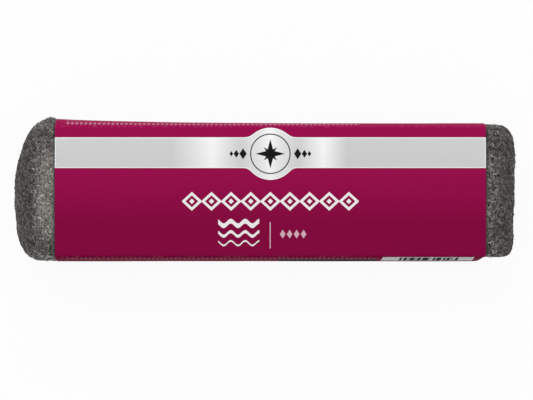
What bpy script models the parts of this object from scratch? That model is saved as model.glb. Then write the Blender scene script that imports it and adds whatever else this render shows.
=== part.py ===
"""A pad of steel wool in its printed paper sleeve, lying on its back.

The pad is one long strip of steel wool, folded on itself into four layers. A sheet of coated paper is
creased round it into a sleeve and glued in a lap on the back, and the soft folded ends stand out of the
sleeve's two mouths. +X runs along the pad, +Y points to its far long side and +Z up, out of the printed
front. The origin is the middle of the underside. Lengths are in metres.
"""

import math

import bmesh
import bpy
from mathutils import Matrix, Vector

MM = 0.001

# Paper sleeve
SLEEVE_LENGTH = 210 * MM
PAPER = 0.2 * MM
PANEL_WIDTH = 63.9 * MM  # the front panel and the back panel, crease to crease
SIDE_HEIGHT = 40.2 * MM  # the two side panels, crease to crease
CROWN = 1.8 * MM  # rise of the front panel between its creases
NEAR_BULGE = 2.5 * MM  # bow of the near side panel
NEAR_TUCK = 1.8 * MM  # the near side is drawn in at the right mouth over this length
FAR_BULGE = 1.7 * MM  # bow of the far side panel, away from the left mouth
FAR_MOUTH_BULGE = 2.2 * MM  # what the fuller left end of the pad adds to it
FAR_BULGE_FADE = 45 * MM
FRONT_CREASE = 2.0 * MM  # from a crease's line to where its curve ends
BACK_CREASE = 6.0 * MM
SEAM = 18 * MM  # on the back, from the near crease's line to the outer flap's cut edge
SEAM_RAMP = 3.0 * MM  # where the paper climbs over the flap
CUT_SLOPE = 0.05 * MM  # of a cut paper edge, which would otherwise be upright
LAP = 20 * MM  # glued overlap
BAND_INSET = 5.5 * MM  # from the far front crease's line to the printed silver band
BAND_WIDTH = 15.3 * MM

# Steel wool pad
LAYERS = 4
LEFT_REACH = 21.4 * MM  # how far the folded ends stand out of the mouths
RIGHT_REACH = 15.3 * MM
RIGHT_LEAN = 0.055  # the right end's far half reaches further than its near half by this share
WOOL_GAP = 0.3 * MM
SECTION_SQUARENESS = 8.0  # 2 is an ellipse, and a large number a rectangle
LEFT_PROFILE, RIGHT_PROFILE = 2.2, 2.8  # squareness of the ends, seen from the side
LEFT_CORNERS = (1.85, 3.8)  # squareness of the left end's far and near corner, seen from above
RIGHT_CORNERS = (4.8, 12.0)
CORNER_FOCUS = 3  # the larger, the less those corners spread up and down
LEFT_HOLLOWS = (1.5 * MM, 0.5 * MM)  # how far the left end is drawn in between its tip and each corner
TOP_SWELL = 0.2 * MM  # how far the freed wool swells just outside the sleeve
LEFT_NEAR_SWELL, RIGHT_NEAR_SWELL = 0.2 * MM, 0.6 * MM
LEFT_FAR_SWELL = 2.4 * MM
RIGHT_FAR_SWELL = -0.2 * MM  # there it is drawn in
SWELL_LENGTH = 1.6 * MM
FOLD_DEPTH = 5.0 * MM  # of the creases between the strip's bends, in the end faces
FOLD_SIDE_DEPTH = 1.2 * MM  # and in the sides
FOLD_WIDTH = 2.4 * MM
FOLD_WANDER = 1.1 * MM  # how far a crease strays up and down
FOLD_WAVE = 17 * MM

# Facets
SLEEVE_STATIONS = 18
SIDE_STEPS, CREASE_STEPS = 8, 4
FRONT_STEPS = (2, 4, 7)  # on the far side of the band, in the band and on its near side
PAD_ROWS = 20  # along, across and up the pad
PAD_BODY_ROWS = 8  # how many of those along it lie inside the sleeve

HALF_PANEL = PANEL_WIDTH / 2
LEFT_MOUTH, RIGHT_MOUTH = -SLEEVE_LENGTH / 2, SLEEVE_LENGTH / 2


def clear_scene():
    for old in list(bpy.data.objects):
        bpy.data.objects.remove(old)


def material(name, colour, roughness, metallic=0.0):
    made = bpy.data.materials.new(name)
    made.use_nodes = True
    shader = made.node_tree.nodes["Principled BSDF"]
    shader.inputs["Base Color"].default_value = (*colour, 1.0)
    shader.inputs["Roughness"].default_value = roughness
    shader.inputs["Metallic"].default_value = metallic
    return made


def add_object(name, bm, finishes):
    bmesh.ops.recalc_face_normals(bm, faces=bm.faces)
    mesh = bpy.data.meshes.new(name)
    bm.to_mesh(mesh)
    bm.free()
    mesh.shade_smooth()
    mesh.set_sharp_from_angle(angle=math.radians(30))
    for finish in finishes:
        mesh.materials.append(finish)
    made = bpy.data.objects.new(name, mesh)
    bpy.context.scene.collection.objects.link(made)
    return made


def smooth_step(t):
    t = min(max(t, 0.0), 1.0)
    return t * t * (3 - 2 * t)


def closer_at_ends(share):
    """Spreads even shares from 0 to 1 so that they crowd towards both ends."""
    return (1 - math.cos(math.pi * share)) / 2


def spread(first, last, steps):
    return [first + (last - first) * step / steps for step in range(steps + 1)]


def far_bulge(x):
    """The far side panel's bow, fullest at the left mouth."""
    return FAR_BULGE + FAR_MOUTH_BULGE * math.exp(-(x - LEFT_MOUTH) / FAR_BULGE_FADE)


def near_bulge(x):
    """The near side panel's bow, drawn in to nothing at the right mouth."""
    return NEAR_BULGE * (1 - math.exp(-(((RIGHT_MOUTH - x) / NEAR_TUCK) ** 2)))


def bowed_wall(start, end, bow, shares):
    """Points (y, z) at the given shares of the way along a wall that bows out to its right."""
    dy, dz = end[0] - start[0], end[1] - start[1]
    length = math.hypot(dy, dz)
    points = []
    for t in shares:
        out = bow * 4 * t * (1 - t) / length
        points.append((start[0] + dy * t + dz * out, start[1] + dz * t - dy * out))
    return points


def crease(before, corner, after):
    """The points of a soft fold between two walls, without its ends."""
    points = []
    for step in range(1, CREASE_STEPS):
        t = step / CREASE_STEPS
        weights = ((1 - t) ** 2, 2 * t * (1 - t), t * t)
        points.append(tuple(sum(w * p[i] for w, p in zip(weights, (before, corner, after))) for i in (0, 1)))
    return points


def inset(points, depth):
    """An open run of points moved to its left, which is the paper's inside."""
    moved = []
    for i, (y, z) in enumerate(points):
        before, after = points[max(i - 1, 0)], points[min(i + 1, len(points) - 1)]
        dy, dz = after[0] - before[0], after[1] - before[1]
        length = math.hypot(dy, dz)
        moved.append((y - dz / length * depth, z + dy / length * depth))
    return moved


def back_panel():
    """The flat back, as (y, outside z, inside z), from the near side to the far one. The outer flap lies flat
    from its cut edge to the far side. The inner one comes from the near side and climbs over it."""
    seam = SEAM - HALF_PANEL
    return [
        (BACK_CREASE - HALF_PANEL, 0.0, PAPER),
        (seam - SEAM_RAMP, 0.0, PAPER),
        (seam - CUT_SLOPE, PAPER, 2 * PAPER),
        (seam, 0.0, 2 * PAPER),
        (seam + LAP, 0.0, 2 * PAPER),
        (seam + LAP + CUT_SLOPE, 0.0, PAPER),
        (HALF_PANEL - BACK_CREASE, 0.0, PAPER),
    ]


def front_shares():
    """The front panel's points, from the far crease to the near one, with one on each edge of the band."""
    stops = (FRONT_CREASE, BAND_INSET, BAND_INSET + BAND_WIDTH, PANEL_WIDTH - FRONT_CREASE)
    shares = [stops[0] / PANEL_WIDTH]
    for first, last, steps in zip(stops, stops[1:], FRONT_STEPS):
        shares += spread(first / PANEL_WIDTH, last / PANEL_WIDTH, steps)[1:]
    return shares


def sleeve_section(x):
    """The sleeve's outside and inside at x, as two rings of points (y, z) that run the same way round."""
    back_far, front_far = (HALF_PANEL, 0.0), (HALF_PANEL, SIDE_HEIGHT)
    front_near, back_near = (-HALF_PANEL, SIDE_HEIGHT), (-HALF_PANEL, 0.0)
    upward = spread(BACK_CREASE / SIDE_HEIGHT, 1 - FRONT_CREASE / SIDE_HEIGHT, SIDE_STEPS)
    downward = [1 - share for share in reversed(upward)]
    back = back_panel()
    far = bowed_wall(back_far, front_far, far_bulge(x), upward)
    front = bowed_wall(front_far, front_near, CROWN, front_shares())
    near = bowed_wall(front_near, back_near, near_bulge(x), downward)
    first, last = back[0][:2], back[-1][:2]
    round_the_pad = [
        *crease(last, back_far, far[0]),
        *far,
        *crease(far[-1], front_far, front[0]),
        *front,
        *crease(front[-1], front_near, near[0]),
        *near,
        *crease(near[-1], back_near, first),
    ]
    outside = [(y, out) for y, out, _ in back] + round_the_pad
    inside = [(y, within) for y, _, within in back] + inset([last, *round_the_pad, first], PAPER)[1:-1]
    return outside, inside


def join_rings(bm, one, other):
    for i in range(len(one)):
        j = (i + 1) % len(one)
        bm.faces.new((one[i], one[j], other[j], other[i]))


def on_band(face):
    place = face.calc_center_median()
    inset_here = HALF_PANEL - place.y
    on_front = face.normal.z > 0.5 and place.z > SIDE_HEIGHT
    return on_front and BAND_INSET < inset_here < BAND_INSET + BAND_WIDTH


def paper_sleeve():
    """The wrapped sheet, one wall from mouth to mouth. Its stations crowd at the mouths, where it bends."""
    bm = bmesh.new()
    rings = []
    for share in spread(0.0, 1.0, SLEEVE_STATIONS):
        x = LEFT_MOUTH + SLEEVE_LENGTH * closer_at_ends(share)
        rings.append([[bm.verts.new((x, y, z)) for y, z in ring] for ring in sleeve_section(x)])
    for ring, following in zip(rings, rings[1:]):
        for side in (0, 1):
            join_rings(bm, ring[side], following[side])
    for outside, inside in (rings[0], rings[-1]):
        join_rings(bm, outside, inside)
    bmesh.ops.recalc_face_normals(bm, faces=bm.faces)
    for face in bm.faces:
        face.material_index = int(on_band(face))
    ground = material("magenta_coated_paper", (0.274, 0.006, 0.072), 0.38)
    band = material("silver_print", (0.62, 0.62, 0.62), 0.32)
    return add_object("paper_sleeve", bm, (ground, band))


def pad_section(across, up, x, near_swell=0.0, far_swell=0.0, top_swell=0.0):
    """(y, z) in the pad at x. across and up run from -1 to 1 over its width and height."""
    depth = PAPER + WOOL_GAP
    if across > 0:
        half_width = HALF_PANEL + far_bulge(x) * (1 - up * up) + far_swell
    else:
        half_width = HALF_PANEL + near_bulge(x) * (1 - up * up) + near_swell
    middle = SIDE_HEIGHT / 2
    if up > 0:
        half_height = middle + CROWN * (1 - across * across) + top_swell
    else:
        half_height = middle - PAPER  # the lap is two layers thick there
    return across * (half_width - depth), middle + up * (half_height - depth)


def fold_crease(up, left):
    """From 0 to 1, how deep a height lies in a crease between two bends. The bends join the layers in pairs,
    from the lowest layer at the left end, and from the one above it at the right end."""
    total = 0.0
    for gap in range(2 if left else 1, LAYERS, 2):
        off = (up + 1 - 2 * gap / LAYERS) * SIDE_HEIGHT / 2
        total += math.exp(-((off / FOLD_WIDTH) ** 2))
    return total


def end_squareness(across, up, left):
    """How square an end's rounding is in this direction: its corners' own squareness at the pad's middle
    height, and the side profile's above and below it."""
    far, near = LEFT_CORNERS if left else RIGHT_CORNERS
    profile = LEFT_PROFILE if left else RIGHT_PROFILE
    corner = near + (far - near) * smooth_step(0.5 + across)
    sideways = across * across / (across * across + up * up) if across else 0.0
    return profile + (corner - profile) * sideways**CORNER_FOCUS


def end_point(out, across, up, edge, left, crease_here):
    """A place on one of the two ends. out runs from 0 at the mouth to 1 at the tip and edge from 0 on the
    pad's axis to 1 on its sides. One of them is 1, as on a box, which is drawn in to a rounded end."""
    squareness = end_squareness(across, up, left)
    shrink = (out**squareness + edge**squareness) ** (-1 / squareness)
    out, across, up = out * shrink, across * shrink, up * shrink
    grown = smooth_step(out * (LEFT_REACH if left else RIGHT_REACH) / SWELL_LENGTH)
    near, far = (LEFT_NEAR_SWELL, LEFT_FAR_SWELL) if left else (RIGHT_NEAR_SWELL, RIGHT_FAR_SWELL)
    swells = (near * grown, far * grown, TOP_SWELL * grown)
    y, z = pad_section(across, up, LEFT_MOUTH if left else RIGHT_MOUTH, *swells)
    y -= FOLD_SIDE_DEPTH * crease_here * smooth_step(out) * across
    z += FOLD_WANDER * math.sin(y / FOLD_WAVE) * out * (1 - up * up)
    sink = FOLD_DEPTH * crease_here * out * out
    if left:
        sink += LEFT_HOLLOWS[across < 0] * (math.sin(math.pi * across) * out) ** 2
        return LEFT_MOUTH - out * LEFT_REACH + sink, y, z
    return RIGHT_MOUTH + out * RIGHT_REACH * (1 + RIGHT_LEAN * across) - sink, y, z


def pad_point(along, across, up):
    """The place on the pad of a point on the surface of the cube from -1 to 1."""
    edge = max(abs(across), abs(up))
    crease_here = fold_crease(up, along < 0)
    if edge:
        power = SECTION_SQUARENESS
        fit = edge / (abs(across) ** power + abs(up) ** power) ** (1 / power)
        across, up = across * fit, up * fit
    body = PAD_BODY_ROWS / PAD_ROWS
    out = (abs(along) - body) / (1 - body)
    if out > 0:
        return end_point(out, across, up, edge, along < 0, crease_here)
    x = LEFT_MOUTH + SLEEVE_LENGTH * closer_at_ends((along / body + 1) / 2)
    return x, *pad_section(across, up, x)


def wool_pad():
    """A cube cut into a grid of facets, whose points are then moved to their places on the pad."""
    bm = bmesh.new()
    bmesh.ops.create_cube(bm, size=2)
    bmesh.ops.subdivide_edges(bm, edges=bm.edges, cuts=PAD_ROWS - 1, use_grid_fill=True)
    for vert in bm.verts:
        vert.co = pad_point(*vert.co)
    return add_object("wool_pad", bm, [material("steel_wool", (0.115, 0.11, 0.103), 0.6, 0.7)])


def centre_on_origin(pieces):
    """Moves the pieces together until the middle of their underside is the origin."""
    corners = [Vector(corner) for piece in pieces for corner in piece.bound_box]
    low = [min(corner[i] for corner in corners) for i in range(3)]
    high = [max(corner[i] for corner in corners) for i in range(3)]
    shift = Matrix.Translation((-(low[0] + high[0]) / 2, -(low[1] + high[1]) / 2, -low[2]))
    for piece in pieces:
        piece.data.transform(shift)


def main():
    clear_scene()
    centre_on_origin([wool_pad(), paper_sleeve()])


main()
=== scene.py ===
# %% [markdown]
# # A pad of steel wool in its printed paper sleeve
#
# The pad is a long strip of felted steel wool, folded on itself into four layers. One sheet of coated paper
# is creased round it and glued in a lap on the back, and the soft folded ends stand out of the sleeve's two
# mouths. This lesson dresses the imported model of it: first the camera, the floor and the light, then the
# sheet of paper with its print, then the wool with its loose strands.
#
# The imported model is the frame. Nothing in it is moved here. Its two solids are replaced by finer pieces that
# take their places from the solids' own boxes.

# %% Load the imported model
import math
import random

import bpy
import numpy as np
from mathutils import Matrix, Vector
from mathutils.bvhtree import BVHTree


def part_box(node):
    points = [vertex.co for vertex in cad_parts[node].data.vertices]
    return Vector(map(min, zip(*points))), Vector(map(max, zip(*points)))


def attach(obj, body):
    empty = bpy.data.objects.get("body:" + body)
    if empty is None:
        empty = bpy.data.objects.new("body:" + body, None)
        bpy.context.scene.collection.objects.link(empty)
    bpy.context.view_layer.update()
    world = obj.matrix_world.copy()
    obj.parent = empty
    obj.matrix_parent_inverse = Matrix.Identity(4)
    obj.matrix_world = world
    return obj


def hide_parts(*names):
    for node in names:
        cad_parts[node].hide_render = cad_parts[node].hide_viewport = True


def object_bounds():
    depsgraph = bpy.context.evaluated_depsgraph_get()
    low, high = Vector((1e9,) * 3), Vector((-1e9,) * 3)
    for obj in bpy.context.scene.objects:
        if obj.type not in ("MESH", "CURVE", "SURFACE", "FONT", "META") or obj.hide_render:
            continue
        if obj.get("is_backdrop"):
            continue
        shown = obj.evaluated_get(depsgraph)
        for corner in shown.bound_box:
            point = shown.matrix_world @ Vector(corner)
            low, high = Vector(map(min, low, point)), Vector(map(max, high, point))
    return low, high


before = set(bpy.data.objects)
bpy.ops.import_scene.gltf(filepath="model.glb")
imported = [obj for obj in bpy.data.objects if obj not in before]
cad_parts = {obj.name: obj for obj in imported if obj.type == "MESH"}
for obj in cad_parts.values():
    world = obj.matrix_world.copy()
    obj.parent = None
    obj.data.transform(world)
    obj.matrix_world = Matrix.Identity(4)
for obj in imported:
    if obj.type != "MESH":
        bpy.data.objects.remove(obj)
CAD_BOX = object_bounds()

MM = 0.001
SLEEVE_LOW, SLEEVE_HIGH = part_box("paper_sleeve")
WOOL_LOW, WOOL_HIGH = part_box("wool_pad")
print("sleeve from", tuple(SLEEVE_LOW), "to", tuple(SLEEVE_HIGH))
print("wool from", tuple(WOOL_LOW), "to", tuple(WOOL_HIGH))

# %% [markdown]
# ## What the sheet measures
#
# The paper's sizes are the ones that the solid was made with. The box of the solid gives the rest: its top is
# the middle of the bowed front, and its near side is the near panel at its fullest. From these come the
# height of the creases and the line down the middle of the front panel, which the print is measured from.

# %% Sizes of the sleeve
PAPER = 0.2 * MM
PANEL_WIDTH = 63.9 * MM  # the front and the back, crease to crease
HALF_PANEL = PANEL_WIDTH / 2
CROWN = 1.8 * MM  # rise of the front between its creases
NEAR_BULGE = 2.5 * MM  # bow of the near side
NEAR_TUCK = 1.8 * MM  # it is drawn in at the right mouth over this length
FAR_BULGE = 1.7 * MM  # bow of the far side
FAR_MOUTH_BULGE = 2.2 * MM  # what the fuller left end of the wool adds to it
FAR_BULGE_FADE = 45 * MM
SIDE_HEIGHT = SLEEVE_HIGH.z - CROWN
LEFT_MOUTH, RIGHT_MOUTH = SLEEVE_LOW.x, SLEEVE_HIGH.x
SLEEVE_LENGTH = RIGHT_MOUTH - LEFT_MOUTH
MIDDLE_X = (LEFT_MOUTH + RIGHT_MOUTH) / 2
MIDDLE_Y = SLEEVE_LOW.y + NEAR_BULGE + HALF_PANEL
print(f"creases {SIDE_HEIGHT / MM:.1f} mm up, front panel's middle line at y = {MIDDLE_Y / MM:.2f} mm")

# %% [markdown]
# ## The camera
#
# The pad is seen straight from above, through a long lens. The photograph shows both long sides of the sleeve
# for a few millimetres, and how far their ends lean in towards the middle of the picture tells how far away
# the camera was: about a metre and a half. The lens then follows from the real length of one pixel on the
# front panel.

# %% Camera
PHOTO_WIDTH, PHOTO_HEIGHT = 533, 400
PIXEL = 0.4875 * MM  # at the height of the front creases
SLEEVE_MIDDLE_PX = (270.35, 191.45)  # where the photograph has the middle of the front panel
CAMERA_DISTANCE = 1.5
SENSOR = 36.0  # mm, as Blender counts a sensor and a lens

bpy.ops.object.select_all(action="DESELECT")
bpy.ops.object.camera_add(
    location=(
        MIDDLE_X + (PHOTO_WIDTH / 2 - SLEEVE_MIDDLE_PX[0]) * PIXEL,
        MIDDLE_Y - (PHOTO_HEIGHT / 2 - SLEEVE_MIDDLE_PX[1]) * PIXEL,
        SIDE_HEIGHT + CAMERA_DISTANCE,
    ),
    rotation=(0, 0, 0),
)
camera = bpy.context.object
camera.data.sensor_width = SENSOR
camera.data.lens = SENSOR * CAMERA_DISTANCE / (PHOTO_WIDTH * PIXEL)
bpy.context.scene.camera = camera
bpy.context.scene.view_settings.view_transform = "Standard"
print(f"a {camera.data.lens:.0f} mm lens")

# %% [markdown]
# ## Shader maths as Python
#
# A pattern such as a print is arithmetic on the place of a point. Written as nodes by hand it would take
# hundreds of lines. The class below wraps one output of a node, so that an expression such as 1 - mask * 0.5
# adds the Math nodes that work it out. Every other node is added by its one method, node.

# %% A wire between nodes
class Wire:
    """One value that runs between a material's nodes."""

    def __init__(self, output):
        self.output = output

    @staticmethod
    def node(tree, kind, settings, values, output=0):
        """Adds a node with its settings, then its sockets' values, each of them a Wire or a plain value."""
        made = tree.nodes.new(kind)
        stops = settings.get("stops")
        for name in settings.keys() - {"stops"}:
            setattr(made, name, settings[name])
        if stops:
            elements = made.color_ramp.elements
            while len(elements) < len(stops):
                elements.new(1.0)
            for element, (position, colour) in zip(elements, stops):
                element.position, element.color = position, colour
        for name, value in values.items():
            if isinstance(value, Wire):
                tree.links.new(value.output, made.inputs[name])
            else:
                made.inputs[name].default_value = value
        return Wire(made.outputs[output])

    def math(self, operation, *others, clamp=False):
        tree = self.output.id_data
        values = dict(enumerate((self, *others)))
        return Wire.node(tree, "ShaderNodeMath", {"operation": operation, "use_clamp": clamp}, values)

    def __add__(self, other):
        return self.math("ADD", other)

    __radd__ = __add__

    def __mul__(self, other):
        return self.math("MULTIPLY", other)

    __rmul__ = __mul__

    def __sub__(self, other):
        return self.math("SUBTRACT", other)

    def __rsub__(self, other):
        return (self * -1) + other

    def __truediv__(self, other):
        return self.math("DIVIDE", other)

    def __abs__(self):
        return self.math("ABSOLUTE")

    def both(self, other):
        """The overlap of two shapes, as distances to their edges, negative inside."""
        return self.math("MAXIMUM", other)

    def either(self, other):
        """The union of two shapes."""
        return self.math("MINIMUM", other)


def display(red, green, blue):
    """A colour as a screen shows it, from 0 to 255, as Blender's linear values: the sRGB curve, undone."""
    shares = [value / 255 for value in (red, green, blue)]
    linear = [share / 12.92 if share <= 0.04045 else ((share + 0.055) / 1.055) ** 2.4 for share in shares]
    return (*linear, 1.0)


def blend(mask, below, above):
    """One colour over another where the mask is 1."""
    tree = mask.output.id_data
    return Wire.node(tree, "ShaderNodeMix", {"data_type": "RGBA"}, {0: mask, 6: below, 7: above}, output=2)


def new_material(name):
    """An empty node material with a Principled shader: the material, its tree and the shader."""
    made = bpy.data.materials.new(name)
    made.use_nodes = True
    return made, made.node_tree, made.node_tree.nodes["Principled BSDF"]

# %% [markdown]
# ## Floor, background and light
#
# The pad lies on a white table in front of nothing else. The white is the floor's own: it glows for the
# camera, and for rays that a shiny thing reflects, at a strength of 1, mixed with plain white paint that
# still takes the object's shadow. The light is a plain white surround and two big soft lamps. The one
# overhead lets the wool's rounded ends fall off towards their tips. The one beyond the far long side makes
# the far panel lighter than the near one. Together they light a surface that faces up so that its colour
# renders about as it is written.

# %% Floor and surround
FLOOR_SIZE = 8.0
FLOOR_DROP = 0.02 * MM  # below the pad, so that its back and the floor don't coincide
FLOOR_PAINT, FLOOR_ROUGHNESS = (0.95, 0.95, 0.95, 1), 0.9
FLOOR_GLOW = 0.93  # share of the glow in what the camera sees of the floor, the rest being paint
SURROUND_LIGHT = 0.36
WHITE = (1, 1, 1, 1)


def seen_directly(tree):
    """1 for the camera's rays and for those of reflection and glass, else 0."""
    rays = [Wire.node(tree, "ShaderNodeLightPath", {}, {}, output=name)
            for name in ("Is Camera Ray", "Is Glossy Ray", "Is Transmission Ray")]
    return rays[0].math("MAXIMUM", rays[1]).math("MAXIMUM", rays[2])


def white_surround():
    world = bpy.data.worlds.new("white_surround")
    world.use_nodes = True
    bpy.context.scene.world = world
    tree = world.node_tree
    strength = SURROUND_LIGHT + seen_directly(tree) * (1 - SURROUND_LIGHT)
    background = tree.nodes["Background"]
    background.inputs["Color"].default_value = WHITE
    tree.links.new(strength.output, background.inputs["Strength"])


def floor_finish():
    made, tree, shader = new_material("white_table")
    shader.inputs["Base Color"].default_value = FLOOR_PAINT
    shader.inputs["Roughness"].default_value = FLOOR_ROUGHNESS
    glow = Wire.node(tree, "ShaderNodeEmission", {}, {"Color": WHITE, "Strength": 1.0})
    share = seen_directly(tree) * FLOOR_GLOW
    mixed = Wire.node(tree, "ShaderNodeMixShader", {}, {0: share, 1: Wire(shader.outputs[0]), 2: glow})
    tree.links.new(mixed.output, tree.nodes["Material Output"].inputs["Surface"])
    return made


white_surround()
bpy.ops.object.select_all(action="DESELECT")
bpy.ops.mesh.primitive_plane_add(size=FLOOR_SIZE, location=(0, 0, -FLOOR_DROP))
floor = bpy.context.object
floor.name = "floor"
floor.data.materials.append(floor_finish())
floor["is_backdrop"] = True

# %% Lamps
def soft_lamp(name, place, size, watts):
    """A square area lamp that faces the pad."""
    bpy.ops.object.select_all(action="DESELECT")
    bpy.ops.object.light_add(type="AREA", location=place)
    lamp = bpy.context.object
    lamp.name = name
    lamp.data.shape = "SQUARE"
    lamp.data.size = size
    lamp.data.energy = watts
    lamp.rotation_euler = (-Vector(place)).to_track_quat("-Z", "Y").to_euler()


soft_lamp("overhead_softbox", place=(0.0, 0.3, 2.6), size=3.2, watts=33)
soft_lamp("far_softbox", place=(-0.6, 2.1, 1.4), size=2.4, watts=28)
print("floor, surround and lamps are in place")

# %% [markdown]
# ## Working in edit mode from a script
#
# Blender's operators act on what is selected, and loading the model leaves its objects selected. So each step
# first picks its object alone, and then its vertices, edges or faces by their place.

# %% Picking things
def pick(piece):
    bpy.ops.object.select_all(action="DESELECT")
    piece.select_set(True)
    bpy.context.view_layer.objects.active = piece


def edit(piece, kind, chosen):
    """Opens a piece in edit mode with the chosen ones selected. kind is VERT, EDGE or FACE."""
    pick(piece)
    bpy.ops.object.mode_set(mode="EDIT")
    bpy.ops.mesh.select_mode(type=kind)
    bpy.ops.mesh.select_all(action="DESELECT")
    bpy.ops.object.mode_set(mode="OBJECT")
    mesh = piece.data
    for element in {"VERT": mesh.vertices, "EDGE": mesh.edges, "FACE": mesh.polygons}[kind]:
        element.select = bool(chosen(element))
    bpy.ops.object.mode_set(mode="EDIT")


def leave_edit():
    bpy.ops.object.mode_set(mode="OBJECT")

# %% [markdown]
# ## The sheet, flat
#
# A paper sleeve could be drawn as a box without ends, but then its print would have to be fitted to each
# panel. It is simpler to do what the paper maker does: cut one flat sheet, print it and fold it. The sheet
# starts as a plane with the print side up and the front panel already where it belongs. Its map is kept from
# then on, so the print stays where it was printed however the sheet is folded.
#
# A real crease is not a sharp line. Each one here is a row of small folds, close together on the front and
# further apart on the back, where the paper goes round the wool more softly. The sheet only needs a row of
# vertices at each small fold and a few on each panel, which bisect cuts into it.

# %% Runs of the sheet from the middle of the front outwards
FRONT_RADIUS = 1.3 * MM  # of the front creases
BACK_RADIUS = 5.0 * MM
SEAM = 18 * MM  # on the back, from the near crease's line to the far flap's cut edge
SEAM_RAMP = 3.0 * MM
LAP = 20 * MM
FOLDS = 6  # small folds in each crease
PANEL_CELL = 2.6 * MM

SIDE_RUN = SIDE_HEIGHT - FRONT_RADIUS - BACK_RADIUS
FRONT_BEND, BACK_BEND = FRONT_RADIUS * math.pi / 2, BACK_RADIUS * math.pi / 2
FRONT_BEND_AT = HALF_PANEL - FRONT_RADIUS  # flat distances from the front panel's middle line
BACK_BEND_AT = FRONT_BEND_AT + FRONT_BEND + SIDE_RUN
BACK_AT = BACK_BEND_AT + BACK_BEND
NEAR_RAMP_AT = BACK_AT + SEAM - SEAM_RAMP - BACK_RADIUS
NEAR_EDGE = NEAR_RAMP_AT + SEAM_RAMP + LAP
FAR_EDGE = BACK_AT + PANEL_WIDTH - SEAM - BACK_RADIUS
SHEET_WIDTH = NEAR_EDGE + FAR_EDGE
print(f"the flat sheet is {SLEEVE_LENGTH / MM:.0f} by {SHEET_WIDTH / MM:.1f} mm")


def small_folds(start, bend):
    return [start + (k + 0.5) * bend / FOLDS for k in range(FOLDS)]


def panel_rows(start, end):
    cells = max(1, round((end - start) / PANEL_CELL))
    return [start + (end - start) * k / cells for k in range(cells + 1)]


def rows_outward(back_rows):
    """The rows from the middle of the front to one edge of the sheet."""
    front = panel_rows(0, FRONT_BEND_AT) + small_folds(FRONT_BEND_AT, FRONT_BEND)
    side = panel_rows(FRONT_BEND_AT + FRONT_BEND, BACK_BEND_AT) + small_folds(BACK_BEND_AT, BACK_BEND)
    return front + side + back_rows


near_rows = rows_outward(panel_rows(BACK_AT, NEAR_RAMP_AT) + panel_rows(NEAR_RAMP_AT + SEAM_RAMP, NEAR_EDGE))
far_rows = rows_outward(panel_rows(BACK_AT, FAR_EDGE))

# %% Cut the sheet
bpy.ops.object.select_all(action="DESELECT")
bpy.ops.mesh.primitive_plane_add(
    size=1, calc_uvs=True, location=(MIDDLE_X, MIDDLE_Y + (FAR_EDGE - NEAR_EDGE) / 2, SIDE_HEIGHT)
)
sheet = bpy.context.object
sheet.name = "printed_sleeve"
sheet.data.uv_layers[0].name = "sheet"
sheet.scale = (SLEEVE_LENGTH, SHEET_WIDTH, 1)
bpy.ops.object.transform_apply(location=True, rotation=True, scale=True)
bpy.ops.object.mode_set(mode="EDIT")
for row in [-row for row in near_rows[1:-1]] + far_rows[:-1]:
    bpy.ops.mesh.select_all(action="SELECT")
    bpy.ops.mesh.bisect(plane_co=(0, MIDDLE_Y + row, 0), plane_no=(0, 1, 0))
leave_edit()
print("the sheet has", len(sheet.data.vertices) // 2, "rows")

# %% [markdown]
# ## Folding
#
# The near side goes first: at each small fold everything beyond it turns by the same few degrees, down the
# side and then in under the back. Its flap is then pressed up by one thickness of paper, because the far
# side's flap comes to lie under it and is glued there.

# %% Fold the sheet round the pad
GLUE = 0.02 * MM
BEYOND = 0.001 * MM  # how far past a fold a row has to lie to turn with it
flat_places = [vertex.co.y - MIDDLE_Y for vertex in sheet.data.vertices]


def fold(sheet, way, starts):
    """Turns what lies beyond each small fold. way is 1 for the far part of the sheet and -1 for the near."""
    for start, bend in starts:
        for place in small_folds(start, bend):
            here = min(range(len(flat_places)), key=lambda i: abs(flat_places[i] - way * place))
            pivot = sheet.data.vertices[here].co.copy()
            edit(sheet, "VERT", lambda vertex: flat_places[vertex.index] * way > place + BEYOND)
            bpy.ops.transform.rotate(value=way * math.pi / 2 / FOLDS, orient_axis="X", center_override=pivot)
            leave_edit()


bends = ((FRONT_BEND_AT, FRONT_BEND), (BACK_BEND_AT, BACK_BEND))
fold(sheet, -1, bends)
edit(sheet, "VERT", lambda vertex: -flat_places[vertex.index] > NEAR_RAMP_AT + SEAM_RAMP / 2)
bpy.ops.transform.translate(value=(0, 0, PAPER + GLUE))
leave_edit()
fold(sheet, 1, bends)
heights = [vertex.co.z / MM for vertex in sheet.data.vertices]
print(f"folded between z = {min(heights):.2f} and {max(heights):.2f} mm")

# %% [markdown]
# ## The pad's push
#
# The wool presses the paper out: the front is crowned, and the sides are bowed, the far one most at the left
# mouth. The rows run the whole length so far, so they are first cut into stations, closer together at the
# right mouth, where the near side is drawn in sharply. Then every vertex moves by one rule. Its height says
# how much of the side's bow it gets, and its distance from the middle line how much of the front's crown.
# A very slight unevenness, as of a sheet round something soft, goes on top.

# %% Cut stations along the sleeve
STATIONS = 104
MOUTH_STATIONS = [0.5 * MM, 1.0 * MM, 1.5 * MM, 3.0 * MM]


def runs_along(edge):
    """Whether an edge goes from one mouth to the other."""
    ends = [sheet.data.vertices[i].co for i in edge.vertices]
    return abs(ends[0].x - ends[1].x) > SLEEVE_LENGTH / 2


edit(sheet, "EDGE", runs_along)
bpy.ops.mesh.subdivide(number_cuts=STATIONS - 1)
for distance in MOUTH_STATIONS:
    bpy.ops.mesh.select_all(action="SELECT")
    bpy.ops.mesh.bisect(plane_co=(RIGHT_MOUTH - distance, 0, 0), plane_no=(1, 0, 0))
leave_edit()

# %% Bow the panels
TUCK_POWER = 1.65  # the smaller, the more sharply the near side starts to fill out at the right mouth
UNEVEN = 0.12 * MM
UNEVEN_SCALE = 28 * MM


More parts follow.
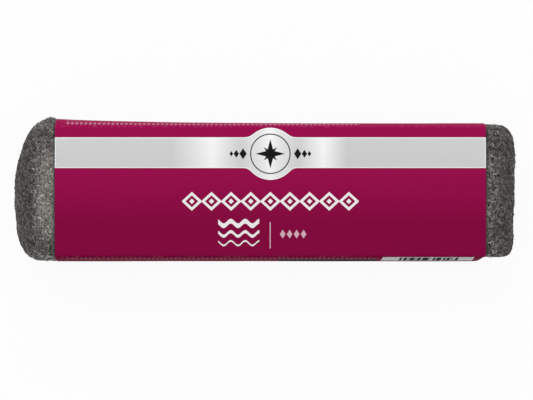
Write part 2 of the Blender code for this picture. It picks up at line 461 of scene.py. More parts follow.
def far_bulge(x):
    return FAR_BULGE + FAR_MOUTH_BULGE * np.exp(-(x - LEFT_MOUTH) / FAR_BULGE_FADE)


def near_bulge(x):
    inward = np.maximum(RIGHT_MOUTH - x, 0) / NEAR_TUCK
    return NEAR_BULGE * (1 - np.exp(-(inward**TUCK_POWER)))


def places_of(mesh):
    places = np.empty(len(mesh.vertices) * 3)
    mesh.vertices.foreach_get("co", places)
    return places.reshape(-1, 3)


def set_places(mesh, places):
    mesh.vertices.foreach_set("co", places.ravel())
    mesh.update()


def unevenness(x, y):
    """A few slow waves between -1 and 1. Their odd factors keep them from lining up."""
    x, y = x / UNEVEN_SCALE, y / UNEVEN_SCALE
    first = np.sin(x + 1.3 * np.sin(y)) * np.cos(y * 1.7 + 0.6)
    second = np.sin(2.3 * x + 2.1) * np.sin(1.9 * y + x)
    return (first + 0.6 * second) / 1.6


def push_out(mesh):
    """The one rule: a parabola up each side for its bow, and one across the front for its crown."""
    places = places_of(mesh)
    x, y, z = places[:, 0], places[:, 1] - MIDDLE_Y, places[:, 2]
    height = np.clip(z / SIDE_HEIGHT, 0, 1)
    across = np.clip(y / HALF_PANEL, -1, 1)
    side_share = 4 * height * (1 - height)  # 1 half-way up, 0 at the creases
    bow = np.where(y > 0, far_bulge(x), -near_bulge(x)) * side_share
    crown = CROWN * (1 - across**2) * height**4
    waves = UNEVEN * unevenness(x, y)
    places[:, 1] += bow + waves * np.sign(y) * side_share * np.abs(across) ** 4
    places[:, 2] += crown + waves * (1 - across**4) * height**4
    set_places(mesh, places)


push_out(sheet.data)

# %% Give the paper its thickness
PRINT, INSIDE, CUT = 0, 1, 2  # material slots of the sheet
SMOOTH_BELOW = math.radians(40)  # between two faces, so that cut edges stay sharp

pick(sheet)
wall = sheet.modifiers.new("thickness", "SOLIDIFY")
wall.thickness = PAPER
wall.offset = -1
wall.use_even_offset = True
wall.material_offset = INSIDE
wall.material_offset_rim = CUT
for name in ("printed_side", "bare_side", "cut_edge"):
    sheet.data.materials.append(bpy.data.materials.new(name))
bpy.ops.object.modifier_apply(modifier=wall.name)
bpy.ops.object.shade_smooth_by_angle(angle=SMOOTH_BELOW)
print("the sleeve has", len(sheet.data.polygons), "faces")

# %% [markdown]
# ## A map for pictures of the print
#
# When the model is exported, its patterns are painted into a picture through a map called OFBake. Left to
# itself, Blender would cut the sleeve into many islands, and the print would get few pixels. The flat sheet
# is already the best map: the printed side fills nearly all of the picture, and the bare inside gets a strip.

# %% Lay out the map
MAP_MARGIN = 0.01
INSIDE_STRIP = 0.06


def lay_out(mesh):
    flat = mesh.uv_layers["sheet"]
    picture = mesh.uv_layers.new(name="OFBake")
    side = np.empty(len(mesh.polygons), int)
    corners = np.empty(len(mesh.polygons), int)
    mesh.polygons.foreach_get("material_index", side)
    mesh.polygons.foreach_get("loop_total", corners)
    side = np.repeat(side, corners)
    places = np.empty(len(mesh.loops) * 2)
    flat.uv.foreach_get("vector", places)
    places = places.reshape(-1, 2)
    across = 1 - 2 * MAP_MARGIN
    laid = MAP_MARGIN + places * (across, INSIDE_STRIP - 2 * MAP_MARGIN)
    printed = (MAP_MARGIN, INSIDE_STRIP) + places * (across, 1 - INSIDE_STRIP - MAP_MARGIN)
    laid[side == PRINT] = printed[side == PRINT]
    picture.uv.foreach_set("vector", laid.ravel())


lay_out(sheet.data)

# %% [markdown]
# ## The print
#
# The sheet is printed magenta all over, with a silver band along the front that swells into a roundel in the
# middle. Every shape is a distance to its edge, worked out from the flat map: negative inside, positive
# outside, so that shapes join with a minimum and overlap with a maximum. A mask is then a soft step across
# zero. All of the ornament is plain: an eight-pointed star in a ring, a border of lozenges, waves that thin
# out, small rows of dashes on the sides, and a pale panel of bars by the near crease.

# %% Shapes for printing
EDGE = 0.12  # mm, how soft the edge of a printed shape is


def ink(distance):
    """A mask from a distance in mm."""
    return (0.5 - distance / EDGE).math("MAXIMUM", 0.0, clamp=True)


def stripe(along, low, high):
    """Between two places on one axis."""
    return abs(along - (low + high) / 2) - (high - low) / 2


def box(x, y, left, right, low, high):
    return stripe(x, left, right).both(stripe(y, low, high))


def lozenge(x, y, half_width, half_height):
    """A diamond about the origin of x and y."""
    slope = math.hypot(half_width, half_height)
    return (abs(x) * half_height + abs(y) * half_width - half_width * half_height) / slope


def outline(shape, stroke):
    """A line of some width just inside a shape's edge."""
    return abs(shape + stroke / 2) - stroke / 2


def disc(x, y, radius):
    return (x * x + y * y).math("SQRT") - radius


def repeated(along, pitch):
    """The place within one repeat of a pattern, from minus to plus half the pitch."""
    return along.math("WRAP", -pitch / 2, pitch / 2)


def random_cells(tree, along, cell, seed):
    """A random number for each cell of a line."""
    whole = (along / cell).math("FLOOR") + seed
    return Wire.node(tree, "ShaderNodeTexWhiteNoise", {"noise_dimensions": "1D"}, {"W": whole})

# %% The silver band and its roundel
BAND_LOW, BAND_HIGH = 11.4, 26.4  # mm above the front panel's middle line
ROUNDEL_CENTRE, ROUNDEL_RADIUS = 18.35, 12.7
FILLET = 3.2  # how softly the band's edges run into the roundel's
# The light peaks of these greys, at -28, 0 and 26 mm, are a painted sheen of the foil.
SILVER_WITH_PAINTED_SHEEN = (  # mm from the middle, from left to right, and the grey there as a screen shows it
    (-105, 198), (-48, 198), (-38, 216), (-28, 236), (-20, 213), (-14.5, 199), (-11.3, 206), (-9, 214),
    (-5, 219), (0, 237), (5, 218), (9, 210), (12, 202), (14.5, 201), (26, 236), (37, 197), (105, 198),
)
SHADE, SHADE_SHARE = display(150, 150, 152), 0.07  # how much of it there is along the band's near edge
# Pale lines on the silver's edges and at both mouths: painted highlights.
HAIRLINE, HIGHLIGHT_LINE_TONE, HIGHLIGHT_LINE_SHARE = 0.5, display(238, 246, 245), 0.5


def silver_shape(x, y):
    band = stripe(y, BAND_LOW, BAND_HIGH)
    roundel = disc(x, y - ROUNDEL_CENTRE, ROUNDEL_RADIUS)
    return band.math("SMOOTH_MIN", roundel, FILLET)


def silver_colour(tree, x, y):
    """A grey that runs from light to dark along the band: a painted sheen of foil, with painted shade towards
    its near edge and pale lines painted as highlights on its edges and at the mouths.
    """
    far = SILVER_WITH_PAINTED_SHEEN[-1][0]
    stops = [(place / far / 2 + 0.5, display(grey, grey, grey)) for place, grey in SILVER_WITH_PAINTED_SHEEN]
    colour = Wire.node(tree, "ShaderNodeValToRGB", {"stops": stops}, {0: x / (2 * far) + 0.5})
    down_the_band = (BAND_HIGH - y) / (BAND_HIGH - BAND_LOW)
    colour = blend(down_the_band.math("MULTIPLY", SHADE_SHARE, clamp=True), colour, SHADE)
    # Painted highlights: a pale line along the silver's edge, and one at each mouth.
    highlight_line = ink(outline(silver_shape(x, y), HAIRLINE))
    mouth_highlight = ink(SLEEVE_LENGTH / MM / 2 - HAIRLINE - abs(x))
    return blend(highlight_line.math("MAXIMUM", mouth_highlight) * HIGHLIGHT_LINE_SHARE, colour, HIGHLIGHT_LINE_TONE)

# %% A star in a ring
LONG_POINT, SMALL_POINT = (7.2, 1.9), (4.6, 1.3)  # half the length and half the width of the star's points
RING_RADIUS, RING_HALF_STROKE = 9.6, 0.27
SIDE_LOZENGES = ((13.3, 1.8), (16.6, 1.3), (19.0, 0.9))  # how far from the middle, and half their width
LOZENGE_HEIGHT = 1.5  # of their width


def four_points(x, y, length, width):
    return lozenge(x, y, width, length).either(lozenge(x, y, length, width))


def star_in_a_ring(x, y):
    """Black ornament for the roundel, with three smaller and smaller lozenges on both sides."""
    y = y - ROUNDEL_CENTRE
    star = four_points(x, y, *LONG_POINT)
    diagonal, other = (x + y) * math.sqrt(0.5), (x - y) * math.sqrt(0.5)
    small_star = four_points(diagonal, other, *SMALL_POINT)
    shape = star.either(small_star).either(abs(disc(x, y, RING_RADIUS)) - RING_HALF_STROKE)
    for place, size in SIDE_LOZENGES:
        shape = shape.either(lozenge(abs(x) - place, y, size, size * LOZENGE_HEIGHT))
    return shape

# %% White and pale marks on the magenta
BORDER_HALF, BORDER_CENTRE = 43.0, -4.8
LINKS = 9
LINK_PITCH = 2 * BORDER_HALF / LINKS
LINK_OVERLAP, LINK_HALF_HEIGHT, LINK_STROKE = 0.25, 4.6, 1.25
LINK_HEART = 1.3
WAVES = ((-15.6, 2.3), (-20.7, 1.5), (-25.2, 0.8))  # each stroke's height on the panel and its width
WAVE_LENGTH, WAVE_SWING = 7.0, 1.1
WAVE_SLANT = 0.75  # a slanting edge is nearer than it is straight above or below
WAVES_FROM, WAVES_TO = -25.4, -5.4
DIVIDER = (-0.35, 0.15, -27.7, -14.9)  # left, right, low and high
FOUR_FROM, FOUR_TO, FOUR_HEIGHT = 4.2, 17.6, -20.8
FOUR_FIRST, FOUR_PITCH = 6.0, 3.4  # middle of the first small lozenge, and from one to the next
FOUR_SIZE = (1.35, 2.1)  # half their width and height


def title_border(x, y):
    """Nine linked lozenges, each with a smaller one in it."""
    across = repeated(x, LINK_PITCH)
    up = y - BORDER_CENTRE
    link = outline(lozenge(across, up, LINK_PITCH / 2 + LINK_OVERLAP, LINK_HALF_HEIGHT), LINK_STROKE)
    heart = lozenge(across, up, LINK_HEART, LINK_HEART)
    return link.either(heart).both(abs(x) - BORDER_HALF)


def thinning_waves(x, y):
    """Three wavy strokes, one below the other, each thinner than the one above."""
    wave = (x * (2 * math.pi / WAVE_LENGTH)).math("SINE") * WAVE_SWING
    strokes = [(abs(y - centre - wave) - stroke / 2) * WAVE_SLANT for centre, stroke in WAVES]
    return strokes[0].either(strokes[1]).either(strokes[2]).both(stripe(x, WAVES_FROM, WAVES_TO))


def pale_marks(x, y):
    """A thin upright line, and four small lozenges beside it."""
    small = lozenge(repeated(x - FOUR_FIRST, FOUR_PITCH), y - FOUR_HEIGHT, *FOUR_SIZE)
    return box(x, y, *DIVIDER).either(small.both(stripe(x, FOUR_FROM, FOUR_TO)))

# %% Marks on the two sides
CREASE_LINE = (FRONT_BEND_AT + FRONT_BEND / 2) / MM
LEFT_MARGIN = -100.2
FAR_RIGHT, NEAR_RIGHT = 43.6, 52.0  # where the rows of lozenges end
UPRIGHT_PITCH, UPRIGHT_HALF_WIDTH = 2.2, 0.9
ROW_PITCH, ROW_HALF_STROKE, FIRST_ROW, ROWS = 3.0, 0.45, 11.0, 6
ROW_MARGIN = 1.0
DASH_PITCH, DASH_HALF_LENGTH = 2.1, 0.85
DASHES_SHOWN = 0.78  # the rest of them are gaps
FAR_STRENGTH, NEAR_STRENGTH = 0.28, 0.14  # how strongly the marks are printed
SURE = 10  # makes of a random number's excess a distance that is clearly in or out


def side_border(x, down, right, centre, half_height):
    """A row of small upright lozenges under a crease."""
    row = lozenge(repeated(x, UPRIGHT_PITCH), down - centre, UPRIGHT_HALF_WIDTH, half_height)
    return row.both(stripe(x, LEFT_MARGIN, right))


def dash_rows(tree, x, down, right):
    """Rows of short dashes, with gaps here and there."""
    row = (down - FIRST_ROW + ROW_PITCH / 2) / ROW_PITCH
    seed = row.math("FLOOR") * 17.0
    dashes = abs(repeated(down - FIRST_ROW, ROW_PITCH)) - ROW_HALF_STROKE
    shown = random_cells(tree, x, DASH_PITCH, seed) - DASHES_SHOWN
    pieces = abs(repeated(x - DASH_PITCH / 2, DASH_PITCH)) - DASH_HALF_LENGTH
    last_row = FIRST_ROW + ROW_PITCH * (ROWS - 1)
    area = box(x, down, LEFT_MARGIN, right, FIRST_ROW - ROW_MARGIN, last_row + ROW_MARGIN)
    return dashes.both(pieces).both(shown * SURE).both(area)


def side_marks(tree, x, y):
    """Pale marks on the far and on the near side, each with how strongly it is printed."""
    far_down, near_down = y - CREASE_LINE, y * -1 - CREASE_LINE
    far = side_border(x, far_down, FAR_RIGHT, 4.6, 3.4).either(dash_rows(tree, x, far_down, FAR_RIGHT))
    near = side_border(x, near_down, NEAR_RIGHT, 3.4, 2.3).either(dash_rows(tree, x, near_down, 0.0))
    return (far, FAR_STRENGTH), (near, NEAR_STRENGTH)

# %% The near side's panel of bars and its black field
BAR_SKEW = 0.08  # the panel is printed a little out of square
BAR_CELL, BARS_DARK = 0.42, 0.64  # width of the narrowest bar, and the share of the cells that are dark
PANEL_OF_BARS, BARS = (54.9, 99.6, 0.5, 10.2), (62.5, 92.2, 1.2, 9.2)  # left, right, and down from the crease
BLACK_FIELD = (4.2, 52.2, 5.8, 26.0)


def bar_panel(tree, x, y):
    """The pale panel and the dark bars on it, which stand for nothing."""
    down = y * -1 - CREASE_LINE
    x = x + down * BAR_SKEW
    bars = (random_cells(tree, x, BAR_CELL, 3.0) - BARS_DARK) * SURE
    return box(x, down, *PANEL_OF_BARS), bars.both(box(x, down, *BARS))


def black_field(x, y):
    return box(x, y * -1 - CREASE_LINE, *BLACK_FIELD)

# %% The printed finish
# The magenta darkens from the far towards the near crease: partly a printed gradient, partly painted shade of
# the light from beyond the far side.
LIGHT_MAGENTA, DEEP_MAGENTA = display(158, 18, 79), display(137, 13, 66)
# The near side's magenta is darker: painted shade, as that side faces away from the lamps.
NEAR_SIDE_PAINTED_SHADE = display(122, 6, 53)
LIGHT_FROM, DEEP_FROM = 10.0, -17.0  # mm from the middle line, towards the far and the near crease
BLACK_INK, FIELD_INK, BAR_INK = display(26, 26, 28), display(28, 24, 26), display(30, 30, 32)
WHITE_INK, PALE_INK, PANEL_INK = display(250, 246, 248), display(240, 205, 220), display(214, 220, 218)
BARE_CREASE = display(214, 160, 180)
PALE_STRENGTH, WEAR = 0.75, 0.18


def object_mm(tree):
    """The place on the piece in mm."""
    place = Wire.node(tree, "ShaderNodeTexCoord", {}, {}, output="Object")
    return Wire.node(tree, "ShaderNodeVectorMath", {"operation": "SCALE"}, {0: place, "Scale": 1 / MM})


def noise(tree, place, scale, detail, distortion=0.0):
    """A cloudy value about 0.5. Its clouds are about 1 / scale mm wide."""
    values = {"Vector": place, "Scale": scale, "Detail": detail, "Distortion": distortion}
    return Wire.node(tree, "ShaderNodeTexNoise", {}, values)


def worn_creases(tree, y):
    """Where the ink has cracked along the four creases: thin, broken lines."""
    grain = noise(tree, object_mm(tree), 0.9, 3.0)
    front = abs(abs(y) - CREASE_LINE) - 0.18
    back = abs(abs(y) - (BACK_BEND_AT + BACK_BEND / 2) / MM) - 0.3
    return ink(front.either(back)) * ((grain - 0.5) * 6).math("MAXIMUM", 0.0, clamp=True)


def printed_finish():
    made, tree, shader = new_material("coated_print")
    flat = Wire.node(tree, "ShaderNodeUVMap", {"uv_map": "sheet"}, {})
    x = Wire.node(tree, "ShaderNodeSeparateXYZ", {}, {0: flat}, output="X")
    y = Wire.node(tree, "ShaderNodeSeparateXYZ", {}, {0: flat}, output="Y")
    x = (x - 0.5) * (SLEEVE_LENGTH / MM)
    y = y * (SHEET_WIDTH / MM) - NEAR_EDGE / MM
    # Darker towards the near crease: partly print, partly painted shade.
    tone = ((y - DEEP_FROM) / (LIGHT_FROM - DEEP_FROM)).math("MAXIMUM", 0.0, clamp=True)
    colour = blend(tone, DEEP_MAGENTA, LIGHT_MAGENTA)
    # Below the near crease the magenta is darker: painted shade.
    colour = blend(ink(y + CREASE_LINE), colour, NEAR_SIDE_PAINTED_SHADE)
    silver = ink(silver_shape(x, y))
    colour = blend(silver, colour, silver_colour(tree, x, y))
    colour = blend(ink(star_in_a_ring(x, y)) * silver, colour, BLACK_INK)
    colour = blend(ink(title_border(x, y).either(thinning_waves(x, y))), colour, WHITE_INK)
    for marks, strength in ((pale_marks(x, y), PALE_STRENGTH), *side_marks(tree, x, y)):
        colour = blend(ink(marks) * strength, colour, PALE_INK)
    panel, bars = bar_panel(tree, x, y)
    for shape, tone in ((black_field(x, y), FIELD_INK), (panel, PANEL_INK), (bars, BAR_INK)):
        colour = blend(ink(shape), colour, tone)
    colour = blend(worn_creases(tree, y) * WEAR, colour, BARE_CREASE)
    tree.links.new(colour.output, shader.inputs["Base Color"])
    paper_skin(tree, shader, silver)
    return made

# %% [markdown]
# ## Gloss of the coated paper
#
# Coated paper shines most at a flat angle, and this one very little otherwise, so its specular level is low.
# Its skin is not quite even: a fine grain changes the roughness a little, and a bump far too small to see
# breaks up the reflections. The silver ink is part metal.

# %% Skin of the paper
PAPER_SPECULAR = 0.003
PAPER_ROUGHNESS, ROUGHNESS_GRAIN, SILVER_SMOOTHER = 0.48, 0.12, 0.1
SILVER_METAL = 0.2
SKIN_BUMP = 0.006 * MM


def raise_bump(tree, shader, height, strength):
    """Tilts the surface's normal by a height in metres."""
    bump = Wire.node(tree, "ShaderNodeBump", {}, {"Height": height, "Strength": strength, "Distance": 1.0})
    tree.links.new(bump.output, shader.inputs["Normal"])


def paper_skin(tree, shader, silver):
    place = object_mm(tree)
    grain = noise(tree, place, 0.35, 4.0)
    roughness = PAPER_ROUGHNESS + (grain - 0.5) * ROUGHNESS_GRAIN - silver * SILVER_SMOOTHER
    tree.links.new(roughness.output, shader.inputs["Roughness"])
    tree.links.new((silver * SILVER_METAL).output, shader.inputs["Metallic"])
    shader.inputs["Specular IOR Level"].default_value = PAPER_SPECULAR
    raise_bump(tree, shader, noise(tree, place, 2.2, 3.0) * SKIN_BUMP, 0.5)


def bare_finish():
    """The uncoated inside: off-white, with faint fibres."""
    made, tree, shader = new_material("bare_paper")
    fibres = noise(tree, object_mm(tree), 0.8, 5.0)
    colour = blend(fibres, display(206, 202, 196), display(228, 225, 219))
    tree.links.new(colour.output, shader.inputs["Base Color"])
    shader.inputs["Roughness"].default_value = 0.85
    return made


def cut_finish():
    """The white core that shows where the sheet is cut."""
    made, _, shader = new_material("cut_paper")
    shader.inputs["Base Color"].default_value = display(224, 220, 216)
    shader.inputs["Roughness"].default_value = 0.9
    return made


for slot, finish in ((PRINT, printed_finish()), (INSIDE, bare_finish()), (CUT, cut_finish())):
    sheet.material_slots[slot].material = finish
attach(sheet, "root")
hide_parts("paper_sleeve")
print("the sleeve is printed")

# %% [markdown]
# ## The wool
#
# Steel wool is a felt of thin, kinked steel strands. From a step away it is a soft, lumpy body with a grain,
# and only close up do the strands show. So it is made twice over. The body comes from the model's solid: its
# facets are merged, rounded by one step of subdivision and cut finer where the wool is out of the sleeve.
# There, two displacements make lumps and nap. They are weighted so that the wool under the paper stays as it
# is, and can't come through the sheet.

# %% Body of the wool
END_CUTS = 2
CUT_FROM = -4 * MM  # the wool is cut finer from just inside the mouths outwards
SAME_PLACE = 0.001 * MM
JOIN_BELOW = math.radians(60)  # two triangles bent less than this become one four-sided face
LOOSE_LENGTH = 2.5 * MM  # how far outside the mouth the wool is fully loose


def outside(x):
    """How far a place lies outside the sleeve along the pad, negative inside."""
    return max(LEFT_MOUTH - x, x - RIGHT_MOUTH)


def smooth_step(t):
    t = min(max(t, 0.0), 1.0)
    return t * t * (3 - 2 * t)


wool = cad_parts["wool_pad"].copy()
wool.data = wool.data.copy()
wool.name = "steel_wool_pad"
wool.parent = None
bpy.context.scene.collection.objects.link(wool)
edit(wool, "VERT", lambda vertex: True)
bpy.ops.mesh.remove_doubles(threshold=SAME_PLACE)
bpy.ops.mesh.tris_convert_to_quads(face_threshold=JOIN_BELOW, shape_threshold=JOIN_BELOW)
leave_edit()
rounding = wool.modifiers.new("rounding", "SUBSURF")
rounding.levels = rounding.render_levels = 1
bpy.ops.object.modifier_apply(modifier=rounding.name)
edit(wool, "FACE", lambda face: outside(face.center.x) > CUT_FROM)
bpy.ops.mesh.subdivide(number_cuts=END_CUTS)
leave_edit()
print("the wool's body has", len(wool.data.polygons), "faces")

# %% Lumps and nap
def roughen(piece, name, scale, strength, depth, mid_level):
    """Moves the loose wool in and out by a cloudy texture."""
    cloud = bpy.data.textures.new(name, "CLOUDS")
    cloud.noise_scale = scale
    cloud.noise_depth = depth
    lumps = piece.modifiers.new(name, "DISPLACE")
    lumps.texture = cloud
    lumps.texture_coords = "LOCAL"
    lumps.strength = strength
    lumps.mid_level = mid_level
    lumps.vertex_group = "loose"
    bpy.ops.object.modifier_apply(modifier=name)


loose = wool.vertex_groups.new(name="loose")
for vertex in wool.data.vertices:
    loose.add([vertex.index], smooth_step(outside(vertex.co.x) / LOOSE_LENGTH), "REPLACE")
pick(wool)
roughen(wool, "lumps", scale=8 * MM, strength=1.1 * MM, depth=1, mid_level=0.51)
roughen(wool, "nap", scale=1.7 * MM, strength=0.8 * MM, depth=2, mid_level=0.5)
bpy.ops.object.shade_smooth()

# %% [markdown]
# ## Finish of the wool's body
#
# Between the strands that lie on top, more of them show deeper down. A contour line of a cloudy texture is a
# good stand-in for one: it is thin, it winds at random and it never ends. Two such layers at different scales
# cross each other, lighter than the dark between them, and raise the surface a little as a bump. That dark is
# partly the steel's own grey and partly painted shade of the felt deeper down.
#
# The wool isn't painted equally light all over. Along the paper's edge it is painted dark: a painted contact
# shadow. Just beyond the left mouth, where it stands up, it is painted lighter, most in the middle of its
# width, and at the right mouth less: painted light on its top.

# %% Felted steel
# The third colour is painted light on the wool that stands up by the mouths.
WOOL_DARK, WOOL_LIGHT, WOOL_PAINTED_LIGHT = display(46, 44, 42), display(118, 114, 110), display(176, 172, 167)
WOOL_METAL, WOOL_ROUGHNESS, STRAND_SMOOTHER = 0.6, 0.62, 0.2
FELT_BUMP = 0.2 * MM
FINE_SHARE = 0.75  # of the finer lines, compared with the coarse ones
LEAST_LINES = 0.35  # how light the lines are where the clouds are darkest
CONTACT_SHADOW_LENGTH = 1.6  # mm beyond a mouth over which the wool is painted dark: a painted contact shadow of the paper's edge
# The next ones set where the painted light on the raised wool lies.
RAISED_TO = 12.0  # mm beyond a mouth, where the wool that stands up by it has sunk again
RAISED_HALF = 14.0  # mm to both sides of the middle, where it is raised the most
RAISED_LEAST = 0.15  # what is left of it beyond twice that
FLATTER_AT_RIGHT = 0.75


def winding_lines(tree, scale, sharpness, shift):
    """Contour lines of a noise, bright on the line."""
    values = {0: object_mm(tree), 1: (shift, shift, shift)}
    place = Wire.node(tree, "ShaderNodeVectorMath", {"operation": "ADD"}, values)
    cloud = noise(tree, place, scale, 1.5, distortion=0.8)
    return (1 - abs(cloud - 0.5) * sharpness).math("MAXIMUM", 0.0, clamp=True)


def painted_light_on_raised_wool(x, y, beyond):
    """A mask of painted light on the wool that stands up by the mouths, from places in mm."""
    lifted = (2 - beyond * (2 / RAISED_TO)).math("MAXIMUM", 0.0, clamp=True)
    middle = (2 - abs(y - MIDDLE_Y / MM) / RAISED_HALF).math("MAXIMUM", RAISED_LEAST, clamp=True)
    return lifted * middle * (1 - x.math("GREATER_THAN", 0.0) * FLATTER_AT_RIGHT)


def felt_finish():
    made, tree, shader = new_material("felted_steel")
    coarse = winding_lines(tree, scale=0.7, sharpness=11.0, shift=0.0)
    fine = winding_lines(tree, scale=1.5, sharpness=8.0, shift=40.0)
    strands = coarse.math("MAXIMUM", fine * FINE_SHARE)
    place = object_mm(tree)
    cloud = noise(tree, place, 0.25, 3.0)
    x = Wire.node(tree, "ShaderNodeSeparateXYZ", {}, {0: place}, output="X")
    y = Wire.node(tree, "ShaderNodeSeparateXYZ", {}, {0: place}, output="Y")
    beyond = (LEFT_MOUTH / MM - x).math("MAXIMUM", x - RIGHT_MOUTH / MM)
    # Along the paper's edge the lines fade out to the dark: a painted contact shadow.
    past_contact_shadow = (beyond / CONTACT_SHADOW_LENGTH).math("MINIMUM", 1.0, clamp=True)
    share = (strands * (LEAST_LINES + cloud) * past_contact_shadow).math("MINIMUM", 1.0)
    # Lighter where the wool stands up by the mouths: painted light.
    light = blend(painted_light_on_raised_wool(x, y, beyond), WOOL_LIGHT, WOOL_PAINTED_LIGHT)
    # Where the lines are thin the dark shows: partly the steel's grey, partly painted shade.
    tree.links.new(blend(share, WOOL_DARK, light).output, shader.inputs["Base Color"])
    shader.inputs["Metallic"].default_value = WOOL_METAL
    tree.links.new((WOOL_ROUGHNESS - strands * STRAND_SMOOTHER).output, shader.inputs["Roughness"])
    raise_bump(tree, shader, strands * FELT_BUMP, 0.8)
    return made


wool.data.materials.clear()
wool.data.materials.append(felt_finish())
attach(wool, "root")
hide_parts("wool_pad")

# %% [markdown]
# ## Loose strands
#
# Real strands lie over the body of both ends. They are shaved from wire, so they have a flat three-cornered
# section and not a round one. Each starts somewhere on the loose wool and wanders: at every step it turns a
# little, moves on and drops back onto the surface. They run in small locks of a few strands side by side,
# which is what gives the wool its squiggly grain from a distance. A strand that comes to the mouth dives into
# the wool, under the paper.
#
# The strands are splines of one curve per piece, which all share one section, and are then made a mesh. A
# random number decides each lock's tone, from dark to bright, and the tones are partly painted light and shade.
# The bright ones lie highest, and the dark ones lower, in the shade between them, painted darker as well. There
# are more bright ones where the wool stands up by the left mouth: painted light on its top.

# %% Paths over the wool
STRAND_STEP = 0.5 * MM
STRAND_POINTS = 6
LOCK_WIDTH = 0.14 * MM  # between two strands of a lock
LIFTS = ((0.02, 0.12), (0.05, 0.2), (0.15, 0.32), (0.24, 0.42))  # mm, of the dark to the bright strands
FIRST_TURN, KEPT_TURN, NEW_TURN = 0.25, 0.6, 0.42  # radians, and how much of one step's turn the next keeps
DRIFT, JITTER = 0.03 * MM, 0.04 * MM  # how a strand strays from its lock, all along it and at each step
END_SINK = 0.05 * MM  # both ends of a strand lie that deep
DIVE_LENGTH, DIVE_DEPTH = 1.2 * MM, 0.2 * MM  # where and how deep it goes in under the paper
surface = BVHTree.FromPolygons(
    [vertex.co for vertex in wool.data.vertices], [tuple(face.vertices) for face in wool.data.polygons]
)


def on_wool(place):
    spot, normal, _, _ = surface.find_nearest(place)
    return spot, normal


def wander(dice, start):
    """A guide path: places, normals and headings along it."""
    place, normal = on_wool(start)
    heading = Vector([dice.gauss(0, 1) for _ in range(3)])
    turn = dice.gauss(0, FIRST_TURN)
    path = []
    for _ in range(STRAND_POINTS):
        heading = (heading - normal * heading.dot(normal)).normalized()
        path.append((place, normal, heading))
        turn = KEPT_TURN * turn + dice.gauss(0, NEW_TURN)
        heading = Matrix.Rotation(turn, 3, normal) @ heading
        place, normal = on_wool(place + heading * STRAND_STEP)
    return path


def strand_beside(dice, path, place_in_lock, tone):
    """One strand of a lock: the guide path, moved aside, lifted in its middle and sunk at its ends."""
    aside = place_in_lock * LOCK_WIDTH
    lift = dice.uniform(*LIFTS[tone]) * MM
    drift = dice.gauss(0, DRIFT)
    points = []
    for i, (place, normal, heading) in enumerate(path):
        share = i / (len(path) - 1)
        free = smooth_step(outside(place.x) / DIVE_LENGTH)
        rise = lift * math.sin(math.pi * share) ** 0.6 - END_SINK
        height = rise * free - DIVE_DEPTH * (1 - free)
        aside += drift + dice.gauss(0, JITTER)
        points.append(place + normal.cross(heading) * aside + normal * height)
    return points

# %% Where the strands start, and how light they are
START_FROM = 1.0 * MM  # outside a mouth
# The raised wool gets painted light, which fades as it sinks and towards the sides.
LEFT_SINKS, RIGHT_SINKS = (7, 12), (2, 7)  # mm outside a mouth, from where to where the raised wool sinks
ASIDE_SINKS, ASIDE_LOSS = (RAISED_HALF, 26), 0.7  # mm to both sides of the middle, and what it loses there
RIGHT_PAINTED_LIGHT = 0.36
FLAT_SHARES = (0.46, 0.45, 0.086, 0.004)  # of each tone, from dark to bright, where the wool lies flat
PAINTED_LIGHT_SHARES = (0.14, 0.05, 0.38, 0.43)


def loose_faces(left):
    """The faces of one loose end, with their areas."""
    faces = [
        face for face in wool.data.polygons
        if outside(face.center.x) > START_FROM and (face.center.x < MIDDLE_X) == left
    ]
    return faces, [face.area for face in faces]


def passed(place, start, end):
    """From 0 at the start to 1 at the end."""
    return smooth_step((place - start) / (end - start))


def painted_light_share(place):
    """From 0 to 1, how much painted light the wool gets where it stands up: most by the left mouth, in the
    middle of the pad's width.
    """
    out, aside = outside(place.x) / MM, abs(place.y - MIDDLE_Y) / MM
    if place.x > MIDDLE_X:
        return RIGHT_PAINTED_LIGHT * (1 - passed(out, *RIGHT_SINKS))
    return (1 - passed(out, *LEFT_SINKS)) * (1 - ASIDE_LOSS * passed(aside, *ASIDE_SINKS))


def lock_tone(dice, place):
    """The tone of a lock, from 0 for dark to 3 for bright."""
    # Bright locks are likelier where the wool gets painted light.
    share = painted_light_share(place)
    shares = [flat + (high - flat) * share for flat, high in zip(FLAT_SHARES, PAINTED_LIGHT_SHARES)]
    return dice.choices(range(len(shares)), shares)[0]

# %% Make strands into a mesh
STRAND_WIDTH, STRAND_DEPTH = 0.15 * MM, 0.1 * MM
THIN_END = 0.45  # of the strand's full width, at both its ends
STRAND_METAL, STRAND_ROUGHNESS = 0.7, 0.42
START_SPREAD = 0.3 * MM  # of a path's start about the middle of its face
# Four tones of the one steel: partly random, partly painted light and shade, as the bright ones lie highest and
# the dark ones lowest.
STRAND_TONES = {
    "dark_strand": (50, 48, 46), "grey_strand": (80, 77, 74), "pale_strand": (140, 136, 132),
    "bright_strand": (192, 189, 185),
}


def strand_finishes():
    made = []
    for name, tone in STRAND_TONES.items():
        finish, _, shader = new_material(name)
        shader.inputs["Base Color"].default_value = display(*tone)
        shader.inputs["Metallic"].default_value = STRAND_METAL
        shader.inputs["Roughness"].default_value = STRAND_ROUGHNESS
        made.append(finish)
    return made


def strand_section():
    """The three-cornered section that all strands share."""
    section = bpy.data.curves.new("strand_section", "CURVE")
    section.dimensions = "2D"
    spline = section.splines.new("POLY")
    spline.points.add(2)
    corners = ((-STRAND_WIDTH / 2, 0), (STRAND_WIDTH / 2, 0), (0, STRAND_DEPTH))
    for point, (x, y) in zip(spline.points, corners):
        point.co = (x, y - STRAND_DEPTH / 3, 0, 1)
    spline.use_cyclic_u = True
    made = bpy.data.objects.new("strand_section", section)
    bpy.context.scene.collection.objects.link(made)
    return made


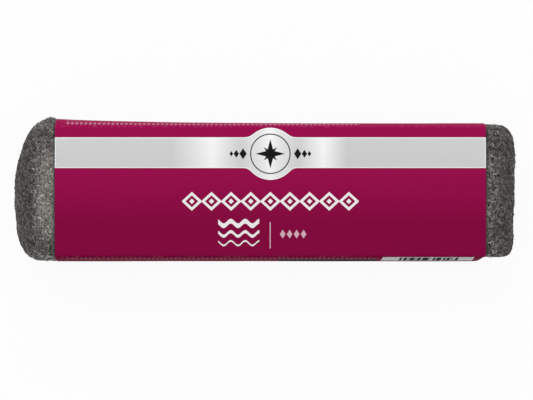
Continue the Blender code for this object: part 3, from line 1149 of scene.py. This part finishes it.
def add_strand(curve, points, tone):
    """One spline, thickest half-way along."""
    last = len(points) - 1
    swell = [math.sin(math.pi * i / last) ** 0.5 for i in range(last + 1)]
    spline = curve.splines.new("POLY")
    spline.points.add(last)
    spline.points.foreach_set("co", [value for point in points for value in (*point, 1.0)])
    spline.points.foreach_set("radius", [THIN_END + (1 - THIN_END) * share for share in swell])
    spline.material_index = tone


def strand_piece(name, left, strands, dice, section, finishes):
    """One piece of loose strands on one end, about 176,000 triangles."""
    curve = bpy.data.curves.new(name, "CURVE")
    curve.dimensions = "3D"
    curve.bevel_mode = "OBJECT"
    curve.bevel_object = section
    curve.use_fill_caps = True
    for finish in finishes:
        curve.materials.append(finish)
    faces, areas = loose_faces(left)
    made = 0
    while made < strands:
        face = dice.choices(faces, areas)[0]
        path = wander(dice, face.center + Vector([dice.gauss(0, START_SPREAD) for _ in range(3)]))
        tone = lock_tone(dice, face.center)
        count = dice.randint(2, 3)
        for k in range(count):
            add_strand(curve, strand_beside(dice, path, k - (count - 1) / 2, tone), tone)
        made += count
    piece = bpy.data.objects.new(name, curve)
    bpy.context.scene.collection.objects.link(piece)
    pick(piece)
    bpy.ops.object.convert(target="MESH")
    piece = bpy.context.object
    edit(piece, "FACE", lambda face: True)
    bpy.ops.mesh.normals_make_consistent(inside=False)
    leave_edit()
    bpy.ops.object.shade_flat()
    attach(piece, "root")
    bright = sum(face.material_index >= 2 for face in piece.data.polygons)
    print(name, "has", made, "strands and", len(piece.data.polygons), "faces,", bright, "of them bright")

# %% Lay the strands
STRANDS_PER_PIECE = 5500
dice = random.Random(7)
section = strand_section()
finishes = strand_finishes()
for end, left in (("left", True), ("right", False)):
    for layer in ("under", "over"):
        strand_piece(f"{end}_strands_{layer}", left, STRANDS_PER_PIECE, dice, section, finishes)
bpy.data.objects.remove(section)

# %% [markdown]
# ## Measure and finish
#
# The dressed part has to keep the model's size, apart from what soft wool may stand proud. Both boxes are
# printed so that they can be compared.


DRESSED_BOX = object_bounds()
for name, box_now in (("model", CAD_BOX), ("dressed", DRESSED_BOX)):
    print(name, [round((high - low) / MM, 2) for low, high in zip(*box_now)], "mm")
